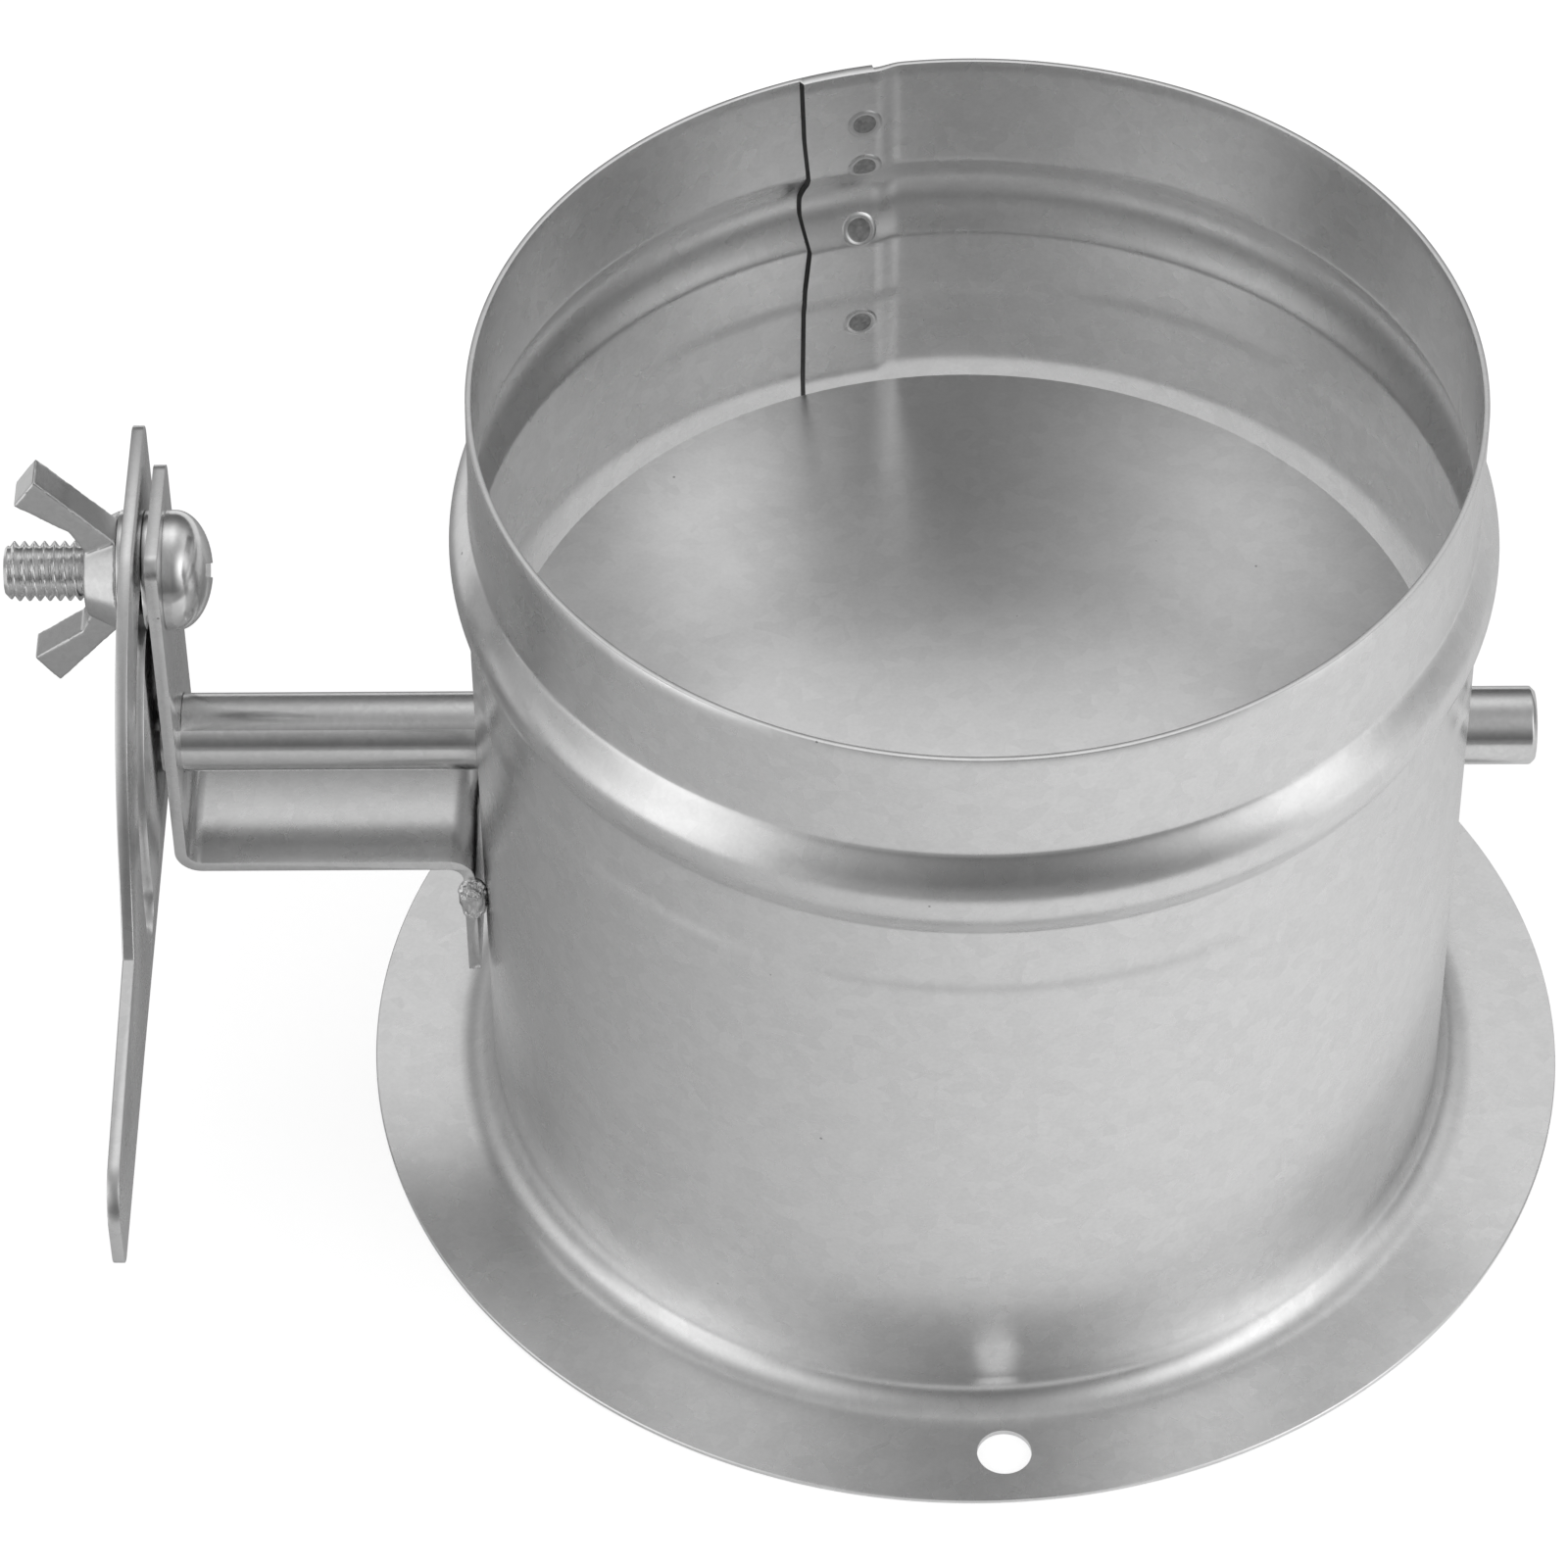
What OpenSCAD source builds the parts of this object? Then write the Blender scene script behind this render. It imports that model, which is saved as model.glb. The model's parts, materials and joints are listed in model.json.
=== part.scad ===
// Round duct collar with a butterfly blade on a cross shaft, a locking quadrant and a fixing flange.
// The duct runs along Z and the flange's lower face is at Z = 0. The shaft runs along X, and the
// quadrant stands outside the wall on the -X side. The blade is shut, with the handle towards -Y.

/* [Collar] */
// Outside diameter of the lower wall
wall_d = 100.3; // [90:0.1:160]
// Thickness of the rolled sheet
sheet_t = 0.6; // [0.4:0.1:1]
// Height of the rim above the flange's lower face
collar_h = 94; // [90:1:160]
// Width of the flange outside the lower wall
flange_w = 12.7; // [12:0.1:30]
// Outer radius of the bend between wall and flange
flange_bend_r = 3.9; // [1:0.1:4]

/* [Bead and spigot] */
// Distance from the rim down to the middle of the bead
bead_below_rim = 18; // [12:0.5:25]
// Height of the bead along the wall
bead_w = 12; // [6:0.5:14]
// How far the bead stands out of the spigot
bead_h = 1.9; // [1:0.1:3]
// How much smaller in radius the spigot is than the wall just under the bead
spigot_step = 0.35; // [0.1:0.05:1]
// Distance from the middle of the bead down to the shallow shoulder
shoulder_below_bead = 12; // [9:0.5:16]
// Height over which the shoulder steps in
shoulder_h = 2.5; // [1:0.1:4]
// How much smaller in radius the wall is above the shoulder
shoulder_step = 0.3; // [0.1:0.05:1]

/* [Lap seam] */
// Direction of the sheet's inner end, in degrees from +X
lap_end = 110; // [100:1:140]
// Width of the overlap round the wall
lap_w = 8; // [6:0.5:16]
// Width over which the inner end steps back out to the wall
lap_ease_w = 2.4; // [1:0.1:4]

/* [Flange holes] */
// Diameter of each flange hole
hole_d = 5.5; // [3:0.1:6]
// Distance from the flange's edge to a hole's centre
hole_inset = 6; // [5.5:0.1:6.5]
// Number of flange holes
hole_count = 3; // [2:1:6]
// Direction of the first hole, in degrees from +X
first_hole = -87; // [-180:1:180]

/* [Shaft and blade] */
// Diameter of the shaft
shaft_d = 8; // [6:0.1:9]
// Height of the shaft's axis above the flange's lower face
shaft_z = 47; // [45:0.5:52]
// How far the shaft stands out of the wall opposite the quadrant
shaft_out = 7.2; // [4:0.1:20]
// Chamfer on the shaft's plain end
shaft_chamfer = 0.5; // [0.2:0.1:1]
// Radial clearance of the shaft in its holes
shaft_gap = 0.1; // [0.05:0.01:0.2]
// Thickness across the two flats of the shaft's riveted end
tenon_w = 6; // [5:0.1:7]
// Diameter of the rivet head that holds the lever
rivet_d = 10; // [9.6:0.1:12]
// Height of the rivet head
rivet_h = 1; // [0.5:0.1:1.6]
// Thickness of the blade
blade_t = 0.8; // [0.5:0.1:2]
// Least clearance between the turning blade and the lap seam
blade_gap = 0.3; // [0.2:0.1:2]
// Length of each weld bead under the blade
weld_l = 12; // [6:1:16]
// Leg of each weld bead
weld_leg = 2; // [1:0.1:2.5]
// Distance between neighbouring weld beads
weld_pitch = 34; // [20:1:36]

/* [Bracket] */
// Width of the bracket's strip
strip_w = 16; // [14:0.5:24]
// Thickness of the bracket's strip
strip_t = 1.2; // [0.8:0.1:2]
// Inner radius of the bracket's bends
strip_bend_r = 1.5; // [1:0.1:3]
// Distance from the wall to the upright plate
reach = 29.8; // [20:0.1:50]
// Distance from the shaft's axis down to the shelf's top
shelf_drop = 11; // [9.5:0.1:12]
// Length of the foot on the wall, measured from the shelf's top
foot_l = 17.5; // [10:0.5:24]
// How far the upright plate reaches above the clamp screw's axis
plate_over = 8; // [6.5:0.5:12]
// Radius of the strip's corners
strip_corner_r = 2; // [0.5:0.1:4]
// Gap between the flat foot and the wall where they are closest
foot_gap = 0.5; // [0.1:0.1:1]
// Diameter of the weld beads along the foot's edges
foot_weld_d = 3; // [2.4:0.1:4]
// Length of each weld bead on the foot
foot_weld_l = 5; // [4:0.5:10]

/* [Lever] */
// Thickness of the lever's plate
lever_t = 1.2; // [0.8:0.1:2]
// Radius of the arc slot's middle line
slot_r = 23; // [20:0.5:30]
// Width of the arc slot
slot_w = 7; // [6.6:0.1:8]
// Travel of the blade past shut, in degrees
past_shut = 3; // [0:1:5]
// Travel of the blade from shut to past open, in degrees
past_open = 93; // [90:1:94]
// Width of the plate outside the slot
quadrant_rim = 8.5; // [4:0.5:12]
// How far the plate reaches behind the shaft's axis
lever_back = 10.5; // [8:0.5:14]
// Width of the plate's web below the slot's lower end
slot_web = 2.2; // [1.5:0.1:5]
// Length of the handle from the shaft's axis
handle_l = 64.2; // [55:0.1:90]
// Height of the handle's tip
handle_tip_h = 10.6; // [9:0.1:14]
// Height of the handle where it leaves the quadrant
handle_root_h = 13; // [11.5:0.1:16]
// Slope of the handle's lower edge towards the tip, in degrees
handle_slope = 1.3; // [0:0.1:4]
// Radius of the handle's upper tip corner
tip_r = 5; // [2:0.5:6]

/* [Clamp] */
// Diameter of the clamp screw
screw_d = 6; // [5:0.5:6]
// Length of the clamp screw under its head
screw_l = 16; // [14:1:25]
// Diameter of the clamp screw's head
head_d = 12; // [10:0.5:13]
// Height of the clamp screw's head
head_h = 4.6; // [3.4:0.1:5]
// Diameter of both washers
washer_d = 12; // [11:0.5:13]
// Thickness of the spacer washer between bracket and lever
spacer_t = 0.8; // [0.5:0.1:2]
// Thickness of the flat washer under the wing nut
washer_t = 1.2; // [0.8:0.1:2]
// Radial clearance round the clamp screw in bracket and washers
screw_gap = 0.2; // [0.1:0.05:0.4]
// Radial clearance between the clamp screw and the wing nut
thread_gap = 0.1; // [0.05:0.01:0.15]
// Gap on each side of the lever
face_gap = 0.05; // [0.02:0.01:0.2]

/* [Wing nut] */
// Diameter of the wing nut's base
nut_base_d = 12; // [11:0.5:13]
// Diameter of the wing nut's hub at its top
nut_top_d = 8.8; // [8.4:0.1:10]
// Height of the wing nut's hub
nut_hub_h = 3.4; // [3:0.1:6]
// Span of the wing nut across both wings
wing_span = 29; // [24:0.5:34]
// Height of the wing nut from its base to its wing tips
wing_h = 9.6; // [8:0.1:14]
// Width of a wing at its tip
wing_tip_w = 4.1; // [3:0.1:5]
// Thickness of a wing
wing_t = 3.4; // [2:0.1:4]
// Direction of the upper wing from upright, in degrees about the clamp screw
wing_turn = -3; // [-180:1:180]

/* [Hidden] */
$fn = 96;

// A cut runs this far past each face that it opens
past = 1;

// Colours of the rolled sheet, the bent strip, the bar and the plated fasteners
sheet_colour = [0.74, 0.75, 0.76];
strip_colour = [0.7, 0.71, 0.72];
bar_colour = [0.68, 0.69, 0.7];
plated_colour = [0.8, 0.8, 0.8];

// Collar, from the wall outwards and from the rim down
wall_r = wall_d / 2;
flange_r = wall_r + flange_w;
hole_circle_r = flange_r - hole_inset;
bead_z = collar_h - bead_below_rim;
bead_low = bead_z - bead_w / 2;
bead_high = bead_z + bead_w / 2;
shoulder_high = bead_z - shoulder_below_bead;
shoulder_low = shoulder_high - shoulder_h;
spigot_r = wall_r - shoulder_step - spigot_step;
lap_angle = lap_w / wall_r * 180 / PI;
lap_ease_angle = lap_ease_w / wall_r * 180 / PI;
lap_ease_steps = 4;

// Blade, whose lower corner sweeps the widest circle
shaft_r = shaft_d / 2;
blade_bottom = shaft_z + shaft_r;
blade_sweep_r = spigot_r - 2 * sheet_t - blade_gap;
blade_r = sqrt(blade_sweep_r * blade_sweep_r - (shaft_r + blade_t) * (shaft_r + blade_t));
tenon_gap = 0.02;

// Stack along X outside the wall, each face measured from the duct's axis
foot_x = wall_r + foot_gap;
plate_x = wall_r + reach;
plate_out_x = plate_x + strip_t;
lever_x = plate_out_x + spacer_t + face_gap;
lever_out_x = lever_x + lever_t;
washer_x = lever_out_x + face_gap;
nut_x = washer_x + washer_t;

// Weld beads on the foot: how far their middle lies outside the strip's edge, and the seam that
// parts them from the wall
foot_weld_out = 0.3;
foot_weld_seam = 0.03;

// Bracket and lever, from the shaft's axis
shelf_z = shaft_z - shelf_drop;
clamp_z = shaft_z + slot_r;
plate_top = clamp_z + plate_over;
quadrant_r = slot_r + slot_w / 2 + quadrant_rim;
screw_angle = 90;
slot_spare = 1;
slot_from = screw_angle - past_shut - slot_spare;
slot_to = screw_angle + past_open + slot_spare;
lever_drop = slot_w / 2 + slot_web - slot_r * sin(slot_to);

// Lever's outline: how far its flat top lies below the arc's crown, the direction where the flank
// leaves the arc, how far the handle's root stands out of the arc, and its small corner radii
top_flat = 1;
flank_angle = 153;
root_out = 1.5;
heel_r = 5;
back_corner_r = 2;
tip_low_r = 1.5;

// Clamp screw: height of the head's straight rim, chamfer at the end, and the cross recess
head_rim_h = 0.9;
screw_chamfer = 0.7;
recess_w = 1.5;
recess_l = 6.4;
recess_h = 2.4;

// Wing: tilt of its tip, height of its lower edge above the base, where its inner edge bends, and
// how deep its root reaches into the hub
wing_tilt = 34;
wing_low = 0.2;
wing_bend = [2.8, 1.1];
wing_root = 1;

// Eases from 0 to 1
function ease(t) = t <= 0 ? 0 : t >= 1 ? 1 : (1 - cos(180 * t)) / 2;

// Rises from 0 to 1 and falls back to 0 over t from -0.5 to 0.5
function bump(t) = abs(t) >= 0.5 ? 0 : (1 + cos(360 * t)) / 2;

// Values from a to b in n steps
function steps(a, b, n) = [for (i = [0:n]) a + (b - a) * i / n];

// Points on an arc round c from angle a to angle b in n steps
function arc(c, r, a, b, n) = [for (t = steps(a, b, n)) c + r * [cos(t), sin(t)]];

// Outer radius of the wall at height z
function wall_at(z) =
    wall_r
    - shoulder_step * ease((z - shoulder_low) / shoulder_h)
    - spigot_step * ease((z - bead_low) / bead_w)
    + bead_h * bump((z - bead_z) / bead_w);

// Heights where the wall's outline needs a point, upwards from z
function wall_heights(z) = concat(
    [z],
    steps(shoulder_low, shoulder_high, 4),
    steps(bead_low, bead_high, 16),
    [collar_h]
);

// Wall outline at height z, moved inwards by inset
function wall_line(zs, inset) = [for (z = zs) [wall_at(z) - inset, z]];

function reversed(list) = [for (i = [len(list) - 1:-1:0]) list[i]];

// A bar along +X from x, round the shaft's axis
module on_shaft(x) {
    translate([x, 0, shaft_z])
        rotate([0, 90, 0])
            children();
}

// Turns what is drawn upwards so that it points away from the collar along the clamp screw's axis
module on_screw(x) {
    translate([-x, 0, clamp_z])
        rotate([0, -90, 0])
            children();
}

// A flat plate across X, drawn in 2D as Y and Z from the shaft's axis, from its outer face inwards
module plate(out_x, t) {
    translate([-out_x, 0, shaft_z])
        rotate([90, 0, 90])
            linear_extrude(t)
                children();
}

// Section of the collar's sheet, from the flange's edge to the rim and back
module collar_section() {
    bend = [wall_r + flange_bend_r, sheet_t + flange_bend_r];
    zs = wall_heights(bend[1]);
    polygon(concat(
        [[flange_r, 0], [flange_r, sheet_t]],
        arc(bend, flange_bend_r, 270, 180, 6),
        wall_line(zs, 0),
        reversed(wall_line(zs, sheet_t)),
        arc(bend, flange_bend_r + sheet_t, 180, 270, 6)
    ));
}

// Section of the inner layer, which stands in by rise and is bonded half as deep
module lap_section(rise) {
    zs = wall_heights(sheet_t + 2 * flange_bend_r);
    polygon(concat(
        wall_line(zs, sheet_t - rise / 2),
        reversed(wall_line(zs, sheet_t + rise))
    ));
}

// Wedge round the duct's axis, from direction a to the sheet's inner end
module lap_wedge(a) {
    linear_extrude(collar_h + past)
        polygon([[0, 0], 2 * wall_r * [cos(a), sin(a)], 2 * wall_r * [cos(lap_end), sin(lap_end)]]);
}

// Inner end of the sheet, full height at the overlap and easing back into the wall beside it
module lap() {
    for (i = [0:lap_ease_steps])
        intersection() {
            rotate_extrude()
                lap_section(sheet_t * (1 - i / (lap_ease_steps + 1)));
            lap_wedge(lap_end - lap_angle - lap_ease_angle * i / lap_ease_steps);
        }
}

module collar() {
    color(sheet_colour)
        difference() {
            union() {
                rotate_extrude()
                    collar_section();
                lap();
            }
            on_shaft(-wall_r - past)
                cylinder(r = shaft_r + shaft_gap, h = 2 * (wall_r + past));
            for (i = [0:hole_count - 1])
                rotate([0, 0, first_hole + 360 * i / hole_count])
                    translate([hole_circle_r, 0, -past])
                        cylinder(d = hole_d, h = sheet_t + 2 * past);
        }
}

// A bend in the strip, a quarter ring round its inner radius from angle a
module strip_bend(a) {
    rotate(a)
        intersection() {
            difference() {
                circle(r = strip_bend_r + strip_t);
                circle(r = strip_bend_r);
            }
            square(strip_bend_r + strip_t);
        }
}

// Side view of the bent strip, as X and Z
module bracket_section() {
    foot_low = shelf_z - foot_l;
    shelf_low = shelf_z - strip_t;
    foot_out = foot_x + strip_t;
    translate([-foot_out, foot_low])
        square([strip_t, shelf_low - strip_bend_r - foot_low]);
    translate([-foot_out - strip_bend_r, shelf_low - strip_bend_r])
        strip_bend(0);
    translate([-plate_x + strip_bend_r, shelf_low])
        square([plate_x - foot_out - 2 * strip_bend_r, strip_t]);
    translate([-plate_x + strip_bend_r, shelf_z + strip_bend_r])
        strip_bend(180);
    translate([-plate_out_x, shelf_z + strip_bend_r])
        square([strip_t, plate_top - shelf_z - strip_bend_r]);
}

// Outline of the strip's end, as Y and Z, with round corners and its square end at z
module strip_end(z, h) {
    r = strip_corner_r;
    half = strip_w / 2;
    translate([-half, z])
        square([strip_w, h - r]);
    translate([r - half, z])
        square([strip_w - 2 * r, h]);
    for (side = [-1, 1])
        translate([side * (half - r), z + h - r])
            circle(r = r);
}

// A weld bead along the +Y edge of the foot, just below the bend
module foot_weld() {
    r = foot_weld_d / 2;
    high = shelf_z - strip_t - strip_bend_r - r;
    low = high - foot_weld_l + foot_weld_d;
    translate([-foot_x - strip_t / 4, strip_w / 2 + foot_weld_out, 0]) {
        translate([0, 0, low])
            cylinder(r = r, h = high - low);
        for (z = [low, high])
            translate([0, 0, z])
                sphere(r = r);
    }
}

// Both weld beads, hollowed to the wall that they lie on
module foot_welds() {
    difference() {
        union() {
            foot_weld();
            mirror([0, 1, 0])
                foot_weld();
        }
        cylinder(r = wall_r + foot_weld_seam, h = shelf_z);
    }
}

module bracket() {
    color(strip_colour) {
        foot_welds();
        difference() {
            intersection() {
                translate([0, strip_w / 2, 0])
                    rotate([90, 0, 0])
                        linear_extrude(strip_w)
                            bracket_section();
                union() {
                    plate(plate_out_x + past, plate_out_x)
                        strip_end(-shelf_drop - strip_t, plate_top - shelf_z + strip_t);
                    plate(plate_out_x + past, plate_out_x)
                        mirror([0, 1])
                            strip_end(0, shelf_drop + foot_l);
                }
            }
            on_shaft(-plate_out_x - past)
                cylinder(r = shaft_r + shaft_gap, h = strip_t + 2 * past);
            on_screw(plate_x - past)
                cylinder(r = screw_d / 2 + screw_gap, h = strip_t + 2 * past);
        }
    }
}

// Outline of the shaft's flattened end, grown by gap all round
module tenon_section(gap) {
    intersection() {
        circle(r = shaft_r + gap);
        square([shaft_d + past, tenon_w + 2 * gap], center = true);
    }
}

module shaft() {
    end_x = wall_r + shaft_out;
    color(bar_colour) {
        on_shaft(-lever_x)
            cylinder(r = shaft_r, h = lever_x + end_x - shaft_chamfer);
        on_shaft(end_x - shaft_chamfer)
            cylinder(r1 = shaft_r, r2 = shaft_r - shaft_chamfer, h = shaft_chamfer);
        plate(lever_out_x, lever_t)
            tenon_section(0);
        on_shaft(-lever_out_x - rivet_h)
            cylinder(r1 = rivet_d / 2 - rivet_h, r2 = rivet_d / 2, h = rivet_h);
    }
}

// A weld bead that fills the corner between the blade and the shaft on the +Y side
module weld_bead() {
    tip_y = shaft_r + weld_leg / 2;
    difference() {
        translate([-weld_l / 2, 0, 0])
            rotate([90, 0, 90])
                linear_extrude(weld_l)
                    polygon([[0, 0], [tip_y, 0], [shaft_r, -weld_leg], [0, -weld_leg]]);
        translate([-weld_l, 0, -shaft_r])
            rotate([0, 90, 0])
                cylinder(r = shaft_r, h = 2 * weld_l);
    }
}

module blade() {
    color(sheet_colour)
        translate([0, 0, blade_bottom]) {
            cylinder(r = blade_r, h = blade_t);
            for (i = [-1:1])
                translate([i * weld_pitch, 0, 0]) {
                    weld_bead();
                    mirror([0, 1, 0])
                        weld_bead();
                }
        }
}

// Outline of the lever, as Y and Z from the shaft's axis, anticlockwise from its heel
module lever_outline() {
    top = quadrant_r - top_flat;
    top_angle = 180 - asin(top / quadrant_r);
    root_y = quadrant_r + root_out;
    root_low = -lever_drop;
    root_high = [-root_y, root_low + handle_root_h];
    tip_low = root_low - (handle_l - root_y) * tan(handle_slope);
    tip = [tip_r - handle_l, tip_low + handle_tip_h - tip_r];
    run = root_high - tip;
    edge_slope = atan2(run[1], run[0]) - asin(tip_r / norm(run));
    polygon(concat(
        arc([lever_back - heel_r, heel_r - lever_drop], heel_r, -90, 0, 8),
        arc([lever_back - back_corner_r, top - back_corner_r], back_corner_r, 0, 90, 6),
        arc([0, 0], quadrant_r, top_angle, flank_angle, 16),
        [root_high],
        arc(tip, tip_r, 90 + edge_slope, 180, 8),
        arc([tip_low_r - handle_l, tip_low + tip_low_r], tip_low_r, 180, 270, 4),
        [[-root_y, root_low]]
    ));
}

module lever() {
    color(strip_colour)
        difference() {
            plate(lever_out_x, lever_t)
                lever_outline();
            plate(lever_out_x + past, lever_t + 2 * past)
                tenon_section(tenon_gap);
            translate([-lever_out_x - past, 0, shaft_z])
                rotate([90, 0, 90]) {
                    rotate([0, 0, slot_from])
                        rotate_extrude(angle = slot_to - slot_from)
                            translate([slot_r - slot_w / 2, 0])
                                square([slot_w, lever_t + 2 * past]);
                    for (a = [slot_from, slot_to])
                        rotate([0, 0, a])
                            translate([slot_r, 0, 0])
                                cylinder(d = slot_w, h = lever_t + 2 * past);
                }
        }
}

module clamp_screw() {
    dome_h = head_h - head_rim_h;
    color(plated_colour)
        on_screw(plate_x)
            difference() {
                union() {
                    cylinder(d = screw_d, h = screw_l - screw_chamfer);
                    translate([0, 0, screw_l - screw_chamfer])
                        cylinder(d1 = screw_d, d2 = screw_d - 2 * screw_chamfer, h = screw_chamfer);
                    rotate([180, 0, 0])
                        rotate_extrude()
                            polygon(concat(
                                [[0, 0], [head_d / 2, 0]],
                                [for (a = steps(0, 90, 12))
                                    [head_d / 2 * cos(a), head_rim_h + dome_h * sin(a)]]
                            ));
                }
                for (a = [45, 135])
                    rotate([0, 0, a])
                        translate([-recess_l / 2, -recess_w / 2, -head_h - past])
                            cube([recess_l, recess_w, recess_h + past]);
            }
}

module washer(t) {
    difference() {
        cylinder(d = washer_d, h = t);
        translate([0, 0, -past])
            cylinder(r = screw_d / 2 + screw_gap, h = t + 2 * past);
    }
}

module spacer_washer() {
    color(plated_colour)
        on_screw(plate_out_x)
            washer(spacer_t);
}

module flat_washer() {
    color(plated_colour)
        on_screw(washer_x)
            washer(washer_t);
}

// Side view of one wing, as distance from the screw's axis and height above the nut's base
module wing_outline() {
    root_x = nut_top_d / 2;
    polygon([
        [root_x - wing_root, wing_low],
        [nut_base_d / 2, wing_low],
        [wing_span / 2, wing_h - wing_tip_w * sin(wing_tilt)],
        [wing_span / 2 - wing_tip_w * cos(wing_tilt), wing_h],
        [root_x + wing_bend[0], nut_hub_h + wing_bend[1]],
        [root_x, nut_hub_h - wing_low],
        [root_x - wing_root, nut_hub_h - wing_low]
    ]);
}

module wing_nut() {
    color(plated_colour)
        on_screw(nut_x)
            difference() {
                union() {
                    cylinder(d1 = nut_base_d, d2 = nut_top_d, h = nut_hub_h);
                    for (side = [0, 180])
                        rotate([0, 0, wing_turn + side])
                            rotate([90, 0, 0])
                                linear_extrude(wing_t, center = true)
                                    wing_outline();
                }
                translate([0, 0, -past])
                    cylinder(r = screw_d / 2 + thread_gap, h = nut_hub_h + 2 * past);
            }
}

collar();
bracket();
shaft();
blade();
lever();
clamp_screw();
spacer_washer();
flat_washer();
wing_nut();
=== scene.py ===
import json
import math

import bmesh
import bpy
import numpy as np
from mathutils import Matrix, Vector, noise

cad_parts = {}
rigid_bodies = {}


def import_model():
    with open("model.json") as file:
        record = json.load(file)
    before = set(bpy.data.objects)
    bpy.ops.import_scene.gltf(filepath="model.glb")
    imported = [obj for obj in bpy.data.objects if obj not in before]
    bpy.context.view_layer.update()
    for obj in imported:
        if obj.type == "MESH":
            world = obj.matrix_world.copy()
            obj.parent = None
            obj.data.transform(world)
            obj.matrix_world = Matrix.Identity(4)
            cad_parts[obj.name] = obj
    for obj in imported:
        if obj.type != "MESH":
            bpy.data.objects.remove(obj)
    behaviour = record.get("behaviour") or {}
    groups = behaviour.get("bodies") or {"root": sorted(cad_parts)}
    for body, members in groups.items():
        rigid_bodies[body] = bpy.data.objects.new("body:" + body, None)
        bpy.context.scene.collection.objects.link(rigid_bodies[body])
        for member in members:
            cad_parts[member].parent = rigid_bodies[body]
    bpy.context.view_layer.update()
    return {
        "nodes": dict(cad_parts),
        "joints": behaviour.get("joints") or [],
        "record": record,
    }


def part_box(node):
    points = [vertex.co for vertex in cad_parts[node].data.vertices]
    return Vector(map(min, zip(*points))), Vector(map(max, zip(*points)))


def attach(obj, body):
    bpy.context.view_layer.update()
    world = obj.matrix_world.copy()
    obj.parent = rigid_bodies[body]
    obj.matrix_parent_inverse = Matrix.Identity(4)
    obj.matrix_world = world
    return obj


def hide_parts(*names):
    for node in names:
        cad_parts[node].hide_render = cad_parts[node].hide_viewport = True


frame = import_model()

# Round duct collar with a butterfly blade and a locking quadrant. Lengths are in metres, and MM
# turns the object's sizes in millimetres into metres.
MM = 0.001

# Collar, from the flange's lower face upwards
FLANGE_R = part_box("collar")[1].x
RIM_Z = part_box("collar")[1].z
WALL_R = 50.15 * MM
SHEET_T = 0.6 * MM
BEND_R = 3.9 * MM
BEAD_Z = RIM_Z - 18 * MM
BEAD_ABOVE = 4.8 * MM
BEAD_BELOW = 5.5 * MM
BEAD_H = 2.0 * MM
BEAD_FOOT_ROUNDING = 0.2 * MM
SHOULDER_TOP = RIM_Z - 30 * MM
SHOULDER_H = 2.5 * MM
SHOULDER_STEP = 0.3 * MM
SPIGOT_STEP = 0.35 * MM
EDGE_R = 0.1 * MM

# Lap seam, in degrees from +X: the sheet's inner end, its outer end, and the width over which the
# inner layer steps inwards beside it. It begins above the flange's bend. On the outside the step
# shows as a valley next to the outer end, as a share of the sheet's thickness.
LAP_END = 110.0
LAP_START = 101.2
LAP_EASE = 3.6
LAP_FOOT = SHEET_T + 2 * BEND_R
LAP_FOOT_EASE = 1.5 * MM
LAP_VALLEY = 0.75
INNER_CUT = 0.17
OUTER_CUT = 0.02

# How the sheet's inner end wanders: heights and degrees, fading over a few degrees beside the end
SEAM_WANDER = [
    (40 * MM, -0.15),
    (52 * MM, 0.1),
    (65 * MM, -0.15),
    (70.5 * MM, -0.85),
    (74.5 * MM, -0.25),
    (77 * MM, -0.25),
    (79.5 * MM, -0.75),
    (86 * MM, -0.1),
    (94 * MM, 0.2),
]
SEAM_FADE = 2.0

# Rolled sheet is never quite round. Each wave has a height, a number of lobes and a phase in radians.
WALL_WAVES = [(0.03 * MM, 3, 2.0), (0.02 * MM, 7, 0.0)]
WALL_WAVE_FOOT = 20 * MM
WALL_WAVE_TOP = 80 * MM
RIM_WAVES = [(0.09 * MM, 0, 0.0), (0.16 * MM, 1, 0.8), (0.15 * MM, 2, -2.8), (0.27 * MM, 3, -1.55)]

# Spacing of the collar's mesh: columns in degrees, closer together over the seam, and rows
COLUMN_STEP = 1.25
SEAM_COLUMN_STEP = 0.3
SEAM_COLUMNS = (LAP_START - LAP_EASE - 1, LAP_END + 2)
ROW_STEP = 1.5 * MM
PLAIN_ROW_STEP = 3 * MM
SHOULDER_ROW_STEP = 0.4 * MM
BEAD_ROW_STEP = 0.25 * MM
BEAD_MARGIN = 1 * MM
OUTER_BEND_ROWS = 8
INNER_BEND_ROWS = 6

# Spot welds inside the seam: height, and direction in degrees from +X. The mark's section runs
# outwards from its centre, as shares of its radius and heights above the sheet.
SPOTS = [(59.4 * MM, 102.8), (71.9 * MM, 102.8), (81.3 * MM, 102.4), (87.2 * MM, 102.4)]
SPOT_R = 1.6 * MM
SPOT_SECTION = [
    (0.02, 0.04 * MM),
    (0.4, 0.04 * MM),
    (0.65, 0.03 * MM),
    (0.75, 0.05 * MM),
    (0.85, 0.13 * MM),
    (0.95, 0.15 * MM),
    (1.05, 0.08 * MM),
    (1.15, -0.02 * MM),
]
SPOT_FLOOR_STEPS = 3
SPOT_COLUMNS = 32

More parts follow.
